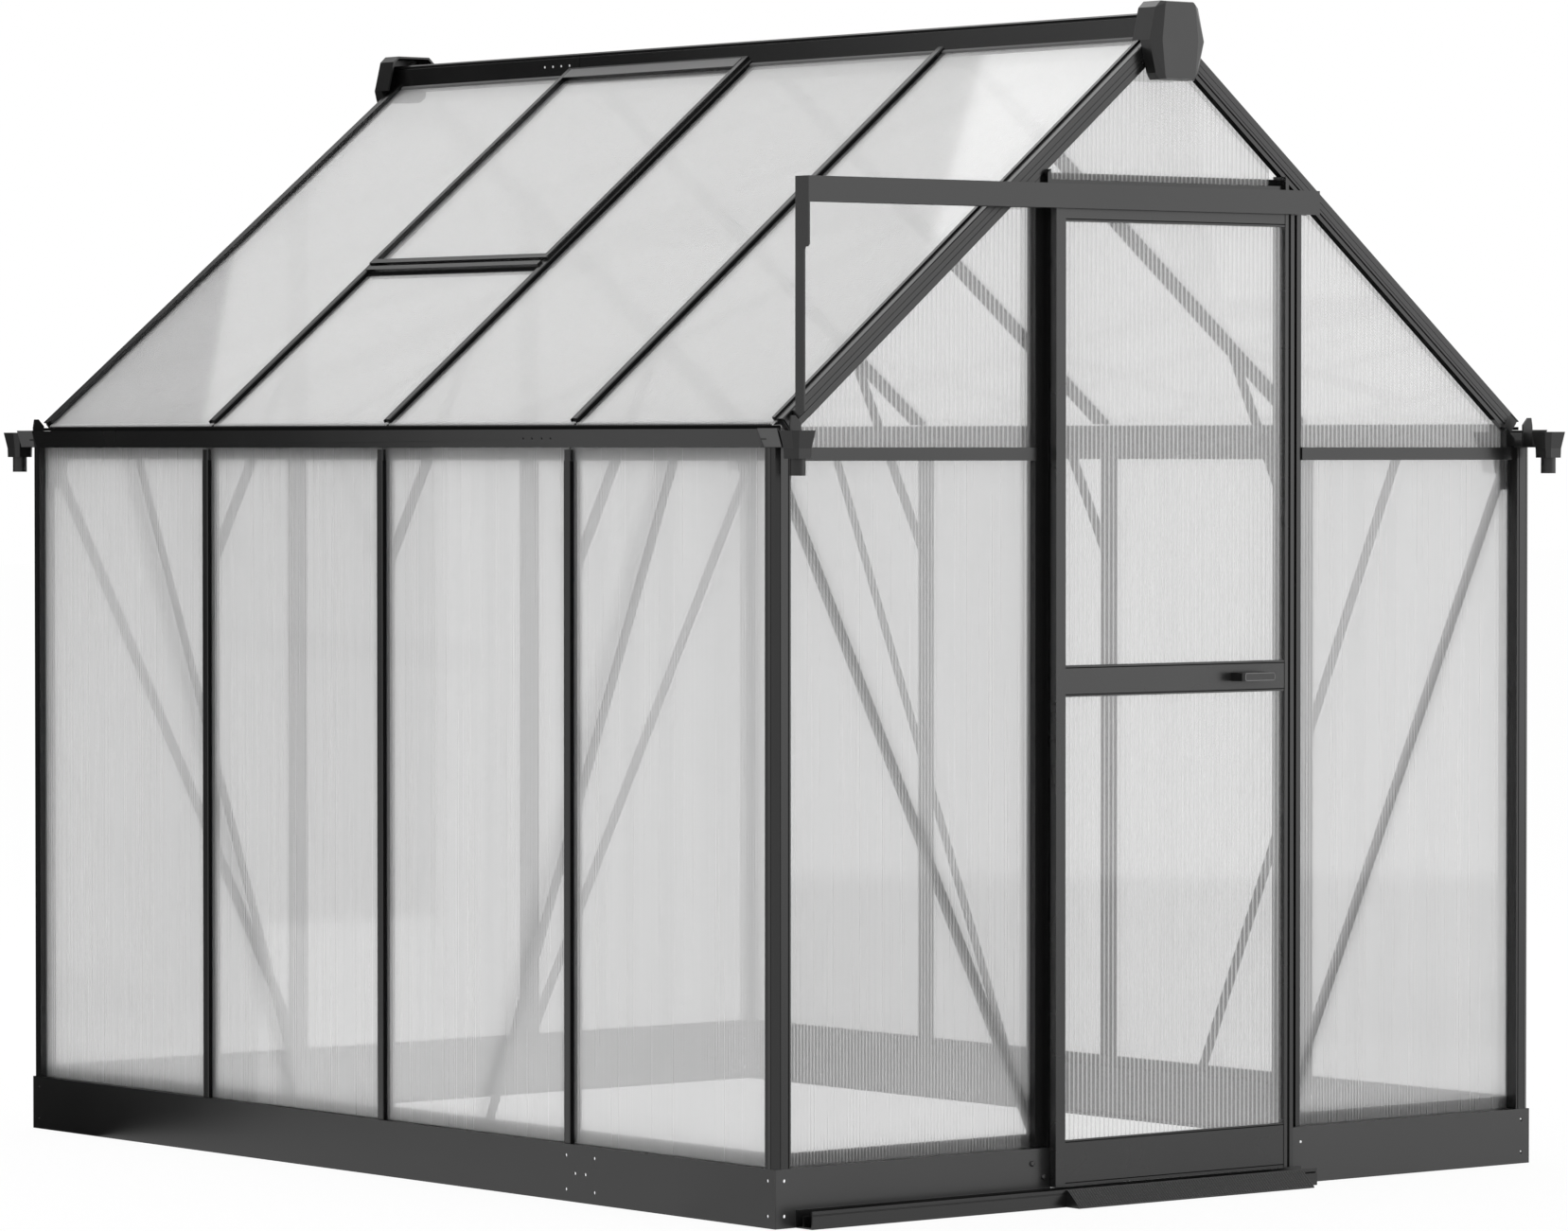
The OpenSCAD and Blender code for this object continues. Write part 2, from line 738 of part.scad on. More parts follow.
module sill_bar() {
  y0 = vent_y0 + cap_w / 2 + 0.3;
  y1 = vent_y1 - cap_w / 2 - 0.3;
  foot = vent_d0 - sill_gap - sill_w;
  slope_block(foot, foot + sill_w, y0, y1, -4.5, roof_cap);
  slope_block(foot - lip_w, foot + 0.1, y0, y1, roof_cap - 1.8, roof_cap);
}

module vent_frame() {
  color(frame_colour) mirror([1, 0, 0]) {
    sash();
    sill_bar();
  }
}

module vent_sheet() {
  y0 = vent_y0 + cap_w / 2 - sash_lap + sash_w;
  y1 = vent_y1 - cap_w / 2 + sash_lap - sash_w;
  color(sheet_colour) mirror([1, 0, 0])
    slope_block(vent_d0 + sash_w * cos_p, vent_d1 - 20, y0, y1, sash_sheet, sash_sheet + sheet_t);
}

// ---------- braces ----------
brace_t = 3;
side_brace = side_plate + plate_d;
brace_top_y = half_l - 330 / 2420 * side_l;
brace_foot_y = half_l - 908 / 2420 * side_l;

// Flat bar between two points of an outline plane.
module bar_outline(a, b) {
  dx = b[0] - a[0];
  dy = b[1] - a[1];
  translate(a) rotate(atan2(dy, dx)) translate([0, -brace_w / 2]) square([sqrt(dx * dx + dy * dy), brace_w]);
}

module side_braces() {
  both_ends() translate([half_w - side_brace - brace_t, 0, 0]) along_x(0, brace_t)
    bar_outline([brace_foot_y, base_h + 6], [brace_top_y, plate_z - 6]);
}

module braces_sides() {
  color(frame_colour) both_sides() side_braces();
}

gusset_w = 32;
gusset_h = 25;
gusset_lug = 58;
gable_brace_x = half_w - corner_w - 8;
module corner_gusset() {
  u = half_w - corner_w;
  z = plate_z - plate_h;
  translate([0, -half_l, 0]) along_y(corner_d, gable_back) polygon([[half_w - side_inner, z],
    [half_w - side_inner, z - gusset_lug], [u - 16, z - gusset_lug], [u - gusset_w + 6, z - gusset_h],
    [u - gusset_w, z]]);
}

module gable_brace(foot_x) {
  corner_gusset();
  translate([0, -half_l, 0]) along_y(gable_back, gable_back + brace_t)
    bar_outline([foot_x, base_h + plate_h + 6], [gable_brace_x, plate_z - plate_h - 30]);
}

module braces_gables() {
  color(frame_colour) {
    gable_brace(right_post_out - 14);
    mirror([1, 0, 0]) gable_brace(left_post_out - 14);
    mirror([0, 1, 0]) both_sides() gable_brace(gable_post_x + 4);
  }
}

// Knee brace at each side post: flat bar on edge, with a lug on the post and one under the roof bar.
knee_lug_w = 20;
knee_foot_z = plate_z - 231;
knee_head_d = 217;
module knee_brace(y) {
  foot = [half_w - side_plate, knee_foot_z];
  head = [half_w - knee_head_d, roof_at(knee_head_d, rafter_under)];
  reach = 2 * brace_w;
  dir = (head - foot) / norm(head - foot);
  intersection() {
    along_y(y - brace_t / 2, y + brace_t / 2) translate(foot - reach * dir) rotate(atan2(dir[1], dir[0]))
      translate([0, -brace_w / 2]) square([norm(head - foot) + 2 * reach, brace_w]);
    along_y(y - brace_t, y + brace_t) intersection() {
      under_roof(rafter_under, 0);
      square([half_w - side_plate, ridge_top]);
    }
  }
  block([half_w - side_plate - brace_t, y - knee_lug_w / 2, knee_foot_z - 36],
    [half_w - side_plate, y + knee_lug_w / 2, knee_foot_z + 26]);
  slope_block(knee_head_d - 30, knee_head_d + 30, y - knee_lug_w / 2, y + knee_lug_w / 2, rafter_under,
    rafter_under + brace_t);
}

module knee_braces() {
  color(frame_colour) both_sides() for (y = [-mid_bay, 0, mid_bay]) knee_brace(y);
}

// ---------- door gear ----------
// Top rail: channel open below, with a runner ledge along its front wall.
ledge_z = rail_z + 12;
module door_rail() {
  color(frame_colour) translate([0, -half_l, 0]) along_x(-rail_left, rail_right) mirror([1, 0]) polygon([[0, rail_z],
    [0, rail_z + rail_h], [rail_front, rail_z + rail_h], [rail_front, rail_z], [rail_front - rail_t, rail_z],
    [rail_front - rail_t, ledge_z - 3], [rail_front - 12, ledge_z - 3], [rail_front - 12, ledge_z],
    [rail_front - rail_t, ledge_z], [rail_front - rail_t, rail_z + rail_h - rail_t], [rail_t, rail_z + rail_h - rail_t],
    [rail_t, rail_z]]);
}

// Upright strut that carries the free left end of the rail, with a wider head and a slanted foot.
module rail_strut() {
  color(frame_colour) translate([-rail_left - 3, -half_l, 0]) along_x(0, 3) mirror([1, 0]) polygon([[0, plate_z + 66],
    [0, rail_z + rail_h], [rail_front, rail_z + rail_h], [rail_front, rail_z - 76], [rail_front - 5, rail_z - 81],
    [27, rail_z - 81], [25, rail_z - 86], [25, plate_z + 64], [3, plate_z + 48], [-tie_face, plate_z + 48],
    [-tie_face, plate_z + 66]]);
}

// Bottom track: channel with a beaded front lip and a low guide rib.
module door_track() {
  color(frame_colour) translate([0, -half_l, 0]) along_x(-track_left, track_right) mirror([1, 0]) polygon([[0, 0],
    [0, door_bottom - 3], [3, door_bottom - 3], [3, 3], [19, 3], [19, 22], [22, 22], [22, 3], [track_front - 3, 3],
    [track_front - 3, track_z - 7], [track_front - 5, track_z - 5], [track_front - 5, track_z - 1],
    [track_front - 4, track_z], [track_front - 1, track_z], [track_front, track_z - 1],
    [track_front, track_z - 6], [track_front - 1, track_z - 7], [track_front - 1, track_z - 8], [track_front, track_z - 9],
    [track_front, 0]]);
}

// ---------- sliding door ----------
module leaf() {
  translate([door_x, -half_l, 0]) children();
}

module stile_outline() {
  difference() {
    square([stile_w, door_t]);
    translate([stile_w - 15, -1]) square([6, 1 + stile_groove]);
  }
}

module door_stiles() {
  color(frame_colour) leaf() {
    translate([-door_w / 2, -door_front, door_bottom]) linear_extrude(height = leaf_top - door_bottom)
      square([stile_w, door_t]);
    translate([door_w / 2 - stile_w, -door_front, door_bottom]) linear_extrude(height = leaf_top - door_bottom)
      stile_outline();
  }
}

leaf_sheet = 8;
module door_bar(z0, z1) {
  block([-door_w / 2 + stile_w, -door_front + 1, z0], [door_w / 2 - stile_w, -door_front + leaf_sheet, z1]);
}

// Wheels on short straps run on the ledge inside the top rail.
wheel_r = 9;
module hanger(x) {
  block([x - 12, -door_front, leaf_top], [x + 12, -door_front + 4, ledge_z + wheel_r + 8]);
  translate([x, -door_front, ledge_z + 0.3 + wheel_r]) rotate([90, 0, 0]) cylinder(h = 9, r = wheel_r, $fn = 48);
}

module door_bars() {
  color(frame_colour) leaf() {
    door_bar(door_bottom, door_bottom + door_kick_h);
    door_bar(mid_rail_z, mid_rail_z + mid_rail_h);
    door_bar(leaf_top - top_bar_h - 5, leaf_top);
  }
}

module door_hangers() {
  color(plastic_colour) leaf() {
    hanger(-door_w / 2 + 70);
    hanger(door_w / 2 - 70);
  }
}

module door_sheets() {
  color(sheet_colour) leaf() block([-door_w / 2 + stile_w, -door_front + leaf_sheet, door_bottom],
    [door_w / 2 - stile_w, -door_front + leaf_sheet + sheet_t, leaf_top]);
}

// Pull handle: a flat grip on two legs.
grip_w = 84;
grip_h = 16;
module door_handle() {
  z = mid_rail_z + (mid_rail_h - grip_h) / 2;
  color(plastic_colour) translate([door_w / 2 - 78 - grip_w, -half_l - door_front + 1, z]) linear_extrude(height = grip_h)
    mirror([0, 1]) polygon([[0, 0], [12, 0], [12, 22], [grip_w - 12, 22], [grip_w - 12, 0], [grip_w, 0],
      [grip_w, 30], [grip_w - 4, 34], [4, 34], [0, 30]]);
}

base_left();
base_right();
base_back();
base_front_left();
base_front_right();
door_sill();
threshold_ramp();
corner_posts();
posts_left();
posts_right();
posts_back();
door_posts();
plates_left();
plates_right();
sills_gables();
gable_ties();
door_header();
gutter_left();
gutter_right();
gutter_heads();
rafters_front();
rafters_back();
roof_bars_left();
roof_bars_right();
ridge_beam();
ridge_caps();
sheets_left();
sheets_right();
sheets_back();
sheets_front();
gable_sheet_front();
gable_sheet_back();
roof_sheets_left();
roof_sheets_right();
vent_frame();
vent_sheet();
braces_sides();
braces_gables();
knee_braces();
door_rail();
rail_strut();
door_track();
door_stiles();
door_bars();
door_hangers();
door_sheets();
door_handle();
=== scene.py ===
import math

import bmesh
import bpy
from mathutils import Matrix, Vector


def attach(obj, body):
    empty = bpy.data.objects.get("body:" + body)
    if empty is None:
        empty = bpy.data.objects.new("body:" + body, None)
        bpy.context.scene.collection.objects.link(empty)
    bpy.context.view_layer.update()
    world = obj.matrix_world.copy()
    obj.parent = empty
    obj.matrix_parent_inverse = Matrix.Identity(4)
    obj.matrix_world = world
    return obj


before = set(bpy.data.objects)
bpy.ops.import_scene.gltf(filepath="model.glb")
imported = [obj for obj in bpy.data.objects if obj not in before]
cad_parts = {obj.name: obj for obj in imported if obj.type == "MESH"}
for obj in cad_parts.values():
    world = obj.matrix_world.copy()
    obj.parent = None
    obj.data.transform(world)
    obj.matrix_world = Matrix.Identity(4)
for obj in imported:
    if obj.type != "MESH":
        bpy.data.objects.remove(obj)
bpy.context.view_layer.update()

# ---- Folded base ----
# Galvanised steel sheet, folded to a flanged channel for the base and to a ramp at the doorway, then
# powder coated. The bolt holes go right through. The short front panels are a shade lighter: painted
# light, for the light that falls on the front.


def paint(hex_colour):
    """An sRGB hex colour as linear RGBA."""
    parts = [int(hex_colour[i : i + 2], 16) / 255 for i in (1, 3, 5)]
    return [c / 12.92 if c <= 0.04045 else ((c + 0.055) / 1.055) ** 2.4 for c in parts] + [1.0]


def add(tree, kind, settings=None, links=None):
    """One shader node with its settings and what feeds it. A number names an input by its place."""
    node = tree.nodes.new(kind)
    for name, value in (settings or {}).items():
        if isinstance(name, int) or name in node.inputs:
            node.inputs[name].default_value = value
        else:
            setattr(node, name, value)
    for name, source in (links or {}).items():
        tree.links.new(source, node.inputs[name])
    return node


def new_material(name):
    """An empty material with its tree and its object coordinates."""
    material = bpy.data.materials.new(name)
    material.use_nodes = True
    tree = material.node_tree
    tree.nodes.clear()
    place = add(tree, "ShaderNodeTexCoord").outputs["Object"]
    return material, tree, place


def powder_coat(name, colour, lighter, rough, specular):
    """Baked powder over metal: a fine orange peel, and a tone that drifts a little along the bar.

    The peel is 1 mm apart on the real coat. It is drawn at 3 mm, the finest that shows.
    """
    material, tree, place = new_material(name)
    drift = add(tree, "ShaderNodeTexNoise", {"Scale": 4.0, "Detail": 3.0}, {"Vector": place})
    tone = add(tree, "ShaderNodeMix", {"data_type": "RGBA", 6: paint(colour), 7: paint(lighter)},
               {0: drift.outputs["Fac"]})
    peel = add(tree, "ShaderNodeTexNoise", {"Scale": 330.0, "Detail": 1.0}, {"Vector": place})
    bump = add(tree, "ShaderNodeBump", {"Strength": 0.06, "Distance": 0.0003},
               {"Height": peel.outputs["Fac"]})
    sheen = add(tree, "ShaderNodeMapRange", {"To Min": rough - 0.05, "To Max": rough + 0.05},
                {"Value": drift.outputs["Fac"]})
    coat = add(tree, "ShaderNodeBsdfPrincipled", {"Specular IOR Level": specular},
               {"Base Color": tone.outputs[2], "Roughness": sheen.outputs["Result"],
                "Normal": bump.outputs["Normal"]})
    add(tree, "ShaderNodeOutputMaterial", None, {"Surface": coat.outputs["BSDF"]})
    return material


def coat_nodes(material, *nodes):
    """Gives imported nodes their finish."""
    for node in nodes:
        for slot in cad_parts[node].material_slots:
            slot.material = material


# Coated steel has a flatter sheen than the aluminium, and looks dull beside it.
base_coat = powder_coat("coated_steel_base", "#101010", "#141414", 0.3, 0.55)
# The front panels' lighter coat is painted light.
front_panel_painted_light_coat = powder_coat("coated_front_base_painted_light", "#262626", "#2a2a2a", 0.3, 0.55)
coat_nodes(base_coat, "base_left", "base_right", "base_back", "threshold_ramp")
coat_nodes(front_panel_painted_light_coat, "base_front_left", "base_front_right")

# ---- Aluminium frame ----
# Posts, plates, gutters, rafters, roof bars, ridge, braces and the door's rail and track: extruded
# aluminium, sawn to length and powder coated in near black. They bolt together end to face.

# Baked powder on smooth aluminium keeps a soft shine.
frame_coat = powder_coat("powder_coated_aluminium", "#0e0e0e", "#121212", 0.25, 0.5)
coat_nodes(frame_coat, "corner_posts", "posts_left", "posts_right", "posts_back", "door_posts",
           "plates_left", "plates_right", "sills_gables", "gable_ties", "door_header", "door_sill",
           "rafters_front", "rafters_back", "roof_bars_left", "roof_bars_right", "ridge_beam",
           "vent_frame", "braces_sides", "braces_gables", "knee_braces", "gutter_left",
           "gutter_right", "door_rail", "rail_strut", "door_track")

# ---- Door leaf ----
# Two stiles and three bars of thin extruded aluminium, screwed at the corners. The leaf hangs in
# front of the gable. Its coat is a shade lighter than the frame behind it: painted light, for the
# light that falls on the front of the leaf.
leaf_painted_light_coat = powder_coat("coated_front_panels_painted_light", "#1b1b1b", "#1f1f1f", 0.27, 0.5)
coat_nodes(leaf_painted_light_coat, "door_stiles", "door_bars")

# ---- Rubber gaskets ----
# Black EPDM lips pushed into both edges of the caps on the side posts and the roof bars. They press
# on the sheets and close the gap beside the cap.
MM = 0.001
# Half the width and half the length of the house, and the length of a middle bay between two posts.
half_w = 940 * MM
half_l = 1210 * MM
mid_bay = 590.96 * MM
post_lines = (-mid_bay, 0.0, mid_bay)
cap_half = 9 * MM
lip_tip, lip_root = 0.78 * MM, 1.82 * MM


def run(mesh, outline, along):
    """A bar of that outline: a few corner points in space, drawn along a vector."""
    face = mesh.faces.new([mesh.verts.new(point) for point in outline])
    made = bmesh.ops.extrude_face_region(mesh, geom=[face])
    ends = [part for part in made["geom"] if isinstance(part, bmesh.types.BMVert)]
    bmesh.ops.translate(mesh, vec=along, verts=ends)


def keep(name, mesh, material, body):
    """The finished piece: its mesh in place, its material, and the body that carries it."""
    bmesh.ops.recalc_face_normals(mesh, faces=mesh.faces)
    data = bpy.data.meshes.new(name)
    mesh.to_mesh(data)
    mesh.free()
    data.materials.append(material)
    made = bpy.data.objects.new(name, data)
    bpy.context.scene.collection.objects.link(made)
    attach(made, body)


def rubber(name):
    """Extruded EPDM: matt and near black, with a dusty grey bloom in patches."""
    material, tree, place = new_material(name)
    bloom = add(tree, "ShaderNodeTexNoise", {"Scale": 60.0, "Detail": 4.0}, {"Vector": place})
    tone = add(tree, "ShaderNodeMix", {"data_type": "RGBA", 6: paint("#050505"), 7: paint("#101010")},
               {0: bloom.outputs["Fac"]})
    matt = add(tree, "ShaderNodeBsdfPrincipled", {"Roughness": 0.85, "Specular IOR Level": 0.1},
               {"Base Color": tone.outputs[2]})
    add(tree, "ShaderNodeOutputMaterial", None, {"Surface": matt.outputs["BSDF"]})
    return material


gasket_rubber = rubber("black_epdm_rubber")
sheet_foot = 107 * MM
wall_lip_l = 1258 * MM
wall_lip_front, wall_lip_back = 6 * MM, 12.9 * MM
for side, name in ((-1, "gaskets_wall_left"), (1, "gaskets_wall_right")):
    mesh = bmesh.new()
    outer, inner = side * (half_w - wall_lip_front), side * (half_w - wall_lip_back)
    for line in post_lines:
        for turn in (-1, 1):
            edge = line + turn * cap_half
            run(mesh, [(outer, edge, sheet_foot), (outer, edge + turn * lip_tip, sheet_foot),
                       (inner, edge + turn * lip_root, sheet_foot), (inner, edge, sheet_foot)],
                (0, 0, wall_lip_l))
    keep(name, mesh, gasket_rubber, "house")

pitch = math.radians(39)
roof_foot = 1426 * MM
roof_lip_foot, roof_lip_top = 26 * MM, 1140 * MM
roof_lip_front, roof_lip_back = 1.5 * MM, 7.9 * MM
vent_sill = 500 * MM


def on_roof(side, s, y, n):
    """A point of the left (-1) or right (1) slope.

    It lies s up the slope from the eave and n below the roof's outer surface.
    """
    inwards = s * math.cos(pitch) + n * math.sin(pitch)
    return Vector((side * (half_w - inwards), y, roof_foot + s * math.sin(pitch) - n * math.cos(pitch)))


def up_slope(side, length):
    """A step of that length up the slope."""
    return on_roof(side, length, 0, 0) - on_roof(side, 0, 0, 0)


for side, name in ((-1, "gaskets_roof_left"), (1, "gaskets_roof_right")):
    mesh = bmesh.new()
    for line in post_lines:
        for turn in (-1, 1):
            edge = line + turn * cap_half
            beside_vent = side < 0 and (line, turn) in ((0.0, 1), (mid_bay, -1))
            top = vent_sill if beside_vent else roof_lip_top
            run(mesh, [on_roof(side, roof_lip_foot, edge, roof_lip_front),
                       on_roof(side, roof_lip_foot, edge + turn * lip_tip, roof_lip_front),
                       on_roof(side, roof_lip_foot, edge + turn * lip_root, roof_lip_back),
                       on_roof(side, roof_lip_foot, edge, roof_lip_back)],
                up_slope(side, top - roof_lip_foot))
    keep(name, mesh, gasket_rubber, "house")

# ---- Shadow strips ----
# Thin black strips of painted shade in open joints, where shade falls: under the set-back flange of
# each rafter, under the eave edge of the roof sheets, and in the groove at the right end of the
# door's track. They take the black rubber's finish but stand for shade alone.

# Outlines in mm: from the gable and down from the roof's surface, then x and z, then y and z.
rafter_shade_outline = [(11.0, 40.1), (10.8, 40.7), (24.8, 40.7), (24.6, 40.1)]
rafter_shade_foot, rafter_shade_l = 78 * MM, 1065 * MM
eave_shade_outline = [(917.4, 1423.5), (918.6, 1423.5), (918.6, 1429.5), (917.4, 1429.5)]
eave_end = 1198 * MM
track_shade_outline = [(-1256.3, 22.8), (-1256.3, 24.6), (-1255.4, 24.8), (-1255.4, 22.6)]
track_shade_start, track_shade_l = 293 * MM, 36 * MM
mesh = bmesh.new()
for side in (-1, 1):
    for end in (-1, 1):
        run(mesh, [on_roof(side, rafter_shade_foot, end * (half_l - v * MM), n * MM) for v, n in rafter_shade_outline],
            up_slope(side, rafter_shade_l))
    run(mesh, [(side * x * MM, -eave_end, z * MM) for x, z in eave_shade_outline], (0, 2 * eave_end, 0))
run(mesh, [(track_shade_start, y * MM, z * MM) for y, z in track_shade_outline], (track_shade_l, 0, 0))
keep("shadow_strips", mesh, gasket_rubber, "house")

# ---- Twin-wall sheets ----
# Extruded polycarbonate: two thin clear skins joined by webs every 7.6 mm, and every 10.6 mm in the
# door and the top of the front gable. The webs stand upright in the walls and run down the slopes
# of the roof, and they haze what lies behind. The caps of the frame hold the edges of each sheet.
web_pitch = 7.6 * MM
wide_pitch = 10.6 * MM
web_t = 0.8 * MM
sheet_t = 4 * MM
skin_t = 0.4 * MM
mark_depth = 0.006


def polycarbonate(name, clear, spread, marks):
    """Frosty clear plastic: it lets the clear share of the light straight on and spreads the rest.

    Its face mirrors a little, and strongly at a glance. Draw marks run along the extrusion, and
    marks gives their size in metres.
    """
    material, tree, place = new_material(name)
    stretch = add(tree, "ShaderNodeMapping", {"vector_type": "TEXTURE", "Scale": marks},
                  {"Vector": place})
    streaks = add(tree, "ShaderNodeTexNoise", {"Scale": 1.0, "Detail": 1.0},
                  {"Vector": stretch.outputs["Vector"]})
    share = add(tree, "ShaderNodeMapRange",
                {"From Min": 0.3, "From Max": 0.7, "To Min": 1 - clear - mark_depth,
                 "To Max": 1 - clear + mark_depth}, {"Value": streaks.outputs["Fac"]})
    through = add(tree, "ShaderNodeBsdfTransparent", {"Color": paint("#ffffff")})
    forward = add(tree, "ShaderNodeBsdfTranslucent", {"Color": paint(spread)})
    back = add(tree, "ShaderNodeBsdfDiffuse", {"Color": paint("#f4f4f4")})
    haze = add(tree, "ShaderNodeMixShader", {0: 0.08}, {1: forward.outputs[0], 2: back.outputs[0]})
    body = add(tree, "ShaderNodeMixShader", None,
               {0: share.outputs["Result"], 1: through.outputs[0], 2: haze.outputs[0]})
    glance = add(tree, "ShaderNodeLayerWeight", {"Blend": 0.5})
    steep = add(tree, "ShaderNodeMath", {"operation": "POWER", 1: 5.0}, {0: glance.outputs["Facing"]})
    mirror = add(tree, "ShaderNodeMapRange", {"To Min": 0.045, "To Max": 1.0}, {"Value": steep.outputs[0]})
    gloss = add(tree, "ShaderNodeBsdfGlossy", {"Color": paint("#ffffff"), "Roughness": 0.04})
    sheet = add(tree, "ShaderNodeMixShader", None,
                {0: mirror.outputs["Result"], 1: body.outputs[0], 2: gloss.outputs[0]})
    add(tree, "ShaderNodeOutputMaterial", None, {"Surface": sheet.outputs[0]})
    return material


# Draw marks are 3 mm wide on the skins and 10 mm on the webs, where finer ones would not show. The
# webs of the gables and the door are clearer than those of the walls, so more shows through them.
upright_marks = (3 * MM, 3 * MM, 1200 * MM)
sloped_marks = (1200 * MM, 3 * MM, 1200 * MM)
web_marks = (10 * MM, 10 * MM, 600 * MM)
# The front gable's and the door's skins spread a greyer light than the walls': painted shade, so the front,
# lit by the front lamp, is no brighter than the walls.
wall_skin = polycarbonate("polycarbonate_skin_side", 0.71, "#f4f4f4", upright_marks)
gable_skin = polycarbonate("polycarbonate_skin_gable_shaded", 0.68, "#e2e2e2", upright_marks)
clear_skin = polycarbonate("polycarbonate_skin_door_shaded", 0.76, "#e0e0e0", upright_marks)
roof_skin = polycarbonate("polycarbonate_skin_sloped", 0.74, "#ffffff", sloped_marks)
wall_web = polycarbonate("polycarbonate_web", 0.40, "#fafafa", web_marks)
clear_web = polycarbonate("polycarbonate_web_clear", 0.66, "#fafafa", web_marks)
roof_web = polycarbonate("polycarbonate_web_roof", 0.35, "#ececec", web_marks)
coat_nodes(wall_skin, "sheets_left", "sheets_right", "sheets_back", "gable_sheet_back")
coat_nodes(gable_skin, "sheets_front")
coat_nodes(clear_skin, "gable_sheet_front", "door_sheets")
coat_nodes(roof_skin, "roof_sheets_left", "roof_sheets_right", "vent_sheet")


def stops(start, end, step=web_pitch):
    """Where webs stand between two edges of a sheet, centred on it."""
    count = int((end - start) / step)
    first = (start + end - (count - 1) * step) / 2
    return [first + i * step for i in range(count)]


def web(mesh, corner, across, inwards, along):
    """One web from its corner on the outer skin: its thickness, its way to the inner skin, its run."""
    corner, across, inwards = Vector(corner), Vector(across), Vector(inwards)
    run(mesh, [corner, corner + across, corner + across + inwards, corner + inwards], along)


web_depth = sheet_t - 2 * skin_t
wall_sheet = 13 * MM
wall_web_l = 1282 * MM
rafter_seat = 29 * MM
bar_web = 2 * MM
bays = [(-half_l + rafter_seat, -mid_bay - bar_web), (-mid_bay + bar_web, -bar_web),
        (bar_web, mid_bay - bar_web), (mid_bay + bar_web, half_l - rafter_seat)]
for side, name in ((-1, "webs_wall_left"), (1, "webs_wall_right")):
    mesh = bmesh.new()
    outer = side * (half_w - wall_sheet - skin_t)
    for bay in bays:
        for y in stops(*bay):
            web(mesh, (outer, y, sheet_foot), (0, web_t, 0), (-side * web_depth, 0, 0), (0, 0, wall_web_l))
    keep(name, mesh, wall_web, "house")


def under_roof(x, n):
    """Height of the line n below the roof's outer surface, at x."""
    return roof_foot + (half_w - abs(x)) * math.tan(pitch) - n / math.cos(pitch)


# Each panel of a gable: its left and right edges, its foot and how high it may reach, in mm, and
# how far apart its webs stand.
front_panels = [(-904, -321, 107, 1377, web_pitch), (-904, -321, 1379, 2120, wide_pitch),
                (-272, 272, 1862, 2120, wide_pitch), (344, 904, 107, 1377, web_pitch),
                (344, 904, 1379, 2120, wide_pitch)]
back_panels = [(-904, -305, 107, 2120, web_pitch), (-301, 301, 107, 2120, web_pitch),
               (305, 904, 107, 2120, web_pitch)]
gable_sheet = 25 * MM
rafter_cover = 19 * MM
for end, name, panels in ((-1, "webs_gable_front", front_panels), (1, "webs_gable_back", back_panels)):
    mesh = bmesh.new()
    outer = end * (half_l - gable_sheet - skin_t)
    for left, right, foot, limit, step in panels:
        for x in stops(left * MM, right * MM, step):
            top = min(under_roof(x, rafter_cover) - web_t, limit * MM)
            web(mesh, (x, outer, foot * MM), (web_t, 0, 0), (0, -end * web_depth, 0),
                (0, 0, top - foot * MM))
    keep(name, mesh, clear_web, "house")

roof_sheet, vent_sheet = 8 * MM, 3.5 * MM
roof_web_foot, roof_web_top = 22 * MM, 1154 * MM
vent_foot, vent_top = 532 * MM, 1130 * MM
vent_start, vent_end = 14 * MM, 577 * MM
vent_bay = 2
below_vent = 504 * MM


def sloped_web(mesh, side, y, depth, foot, top):
    """A web of a roof sheet whose outer face lies that depth below the roof's outer surface."""
    corner = on_roof(side, foot, y, depth + skin_t)
    inwards = on_roof(side, foot, y, depth + sheet_t - skin_t) - corner
    web(mesh, corner, (0, web_t, 0), inwards, up_slope(side, top - foot))


for side, name in ((-1, "webs_roof_left"), (1, "webs_roof_right")):
    mesh = bmesh.new()
    for number, bay in enumerate(bays):
        vented = side < 0 and number == vent_bay
        for y in stops(*bay):
            sloped_web(mesh, side, y, roof_sheet, roof_web_foot, below_vent if vented else roof_web_top)
            if vented and vent_start < y < vent_end:
                sloped_web(mesh, side, y, vent_sheet, vent_foot, vent_top)
    keep(name, mesh, roof_web, "house")

door_left, door_right = -277 * MM, 269 * MM
door_sheet = -1226 * MM
door_foot, door_web_l = 36 * MM, 1795 * MM
mesh = bmesh.new()
for x in stops(door_left, door_right, wide_pitch):
    web(mesh, (x, door_sheet + skin_t, door_foot), (web_t, 0, 0), (0, web_depth, 0), (0, 0, door_web_l))
keep("webs_door", mesh, clear_web, "door")

# ---- Moulded fittings ----
# Ridge end caps, gutter outlets, door hangers and the pull are injection moulded in near black
# polypropylene, with a finely eroded skin. They clip and screw to the profiles.


def moulded(name, colour, rough):
    """Polypropylene from an eroded mould: an even satin with grain 0.5 mm apart, drawn at 2 mm."""
    material, tree, place = new_material(name)
    grain = add(tree, "ShaderNodeTexVoronoi", {"Scale": 500.0}, {"Vector": place})
    flow = add(tree, "ShaderNodeTexNoise", {"Scale": 9.0, "Detail": 2.0}, {"Vector": place})
    bump = add(tree, "ShaderNodeBump", {"Strength": 0.08, "Distance": 0.0003},
               {"Height": grain.outputs["Distance"]})
    satin = add(tree, "ShaderNodeMapRange", {"To Min": rough - 0.06, "To Max": rough + 0.06},
                {"Value": flow.outputs["Fac"]})
    plastic = add(tree, "ShaderNodeBsdfPrincipled", {"Base Color": paint(colour)},
                  {"Roughness": satin.outputs["Result"], "Normal": bump.outputs["Normal"]})
    add(tree, "ShaderNodeOutputMaterial", None, {"Surface": plastic.outputs["BSDF"]})
    return material


